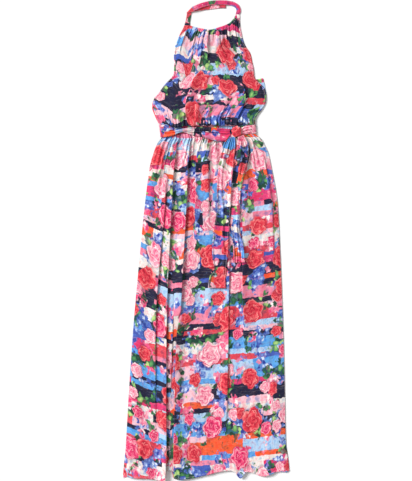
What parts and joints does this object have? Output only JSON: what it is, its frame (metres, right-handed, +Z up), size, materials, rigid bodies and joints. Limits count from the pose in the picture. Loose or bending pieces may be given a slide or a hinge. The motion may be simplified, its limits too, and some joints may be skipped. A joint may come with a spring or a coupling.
{
  "type": "maxi dress laid flat",
  "caption": "Long halter-neck dress of light printed cloth, laid flat on its back, with a blouson bodice, a gathered waist under a tied sash and a folded skirt.",
  "frame": {"origin": "middle of the laid dress's outline, on the surface that it lies on", "axes": "+X to the right as the front is seen, +Y from hem to neck, +Z up out of the front"},
  "size_m": [0.5192, 1.4999, 0.0177],
  "materials": {
    "printed_georgette": "light crepe-twist georgette, matt with a slight sheen, printed with flowers and brushed stripes",
    "sash_georgette": "the dress's own printed georgette, hemmed narrow along both edges",
    "strap_georgette": "the dress's own printed georgette, folded and stitched into a flat strap"
  },
  "bodies": {
    "root": {"skirt_back": "printed_georgette", "skirt_front": "printed_georgette", "bodice_back": "printed_georgette", "bodice_front": "printed_georgette", "waist_casing_back": "printed_georgette", "waist_casing_front": "printed_georgette", "sash_back": "sash_georgette", "sash_left": "sash_georgette", "sash_right": "sash_georgette", "sash_knot": "sash_georgette", "sash_end_short": "sash_georgette", "sash_end_long": "sash_georgette", "strap_left": "strap_georgette", "strap_right": "strap_georgette"}
  },
  "joints": []
}
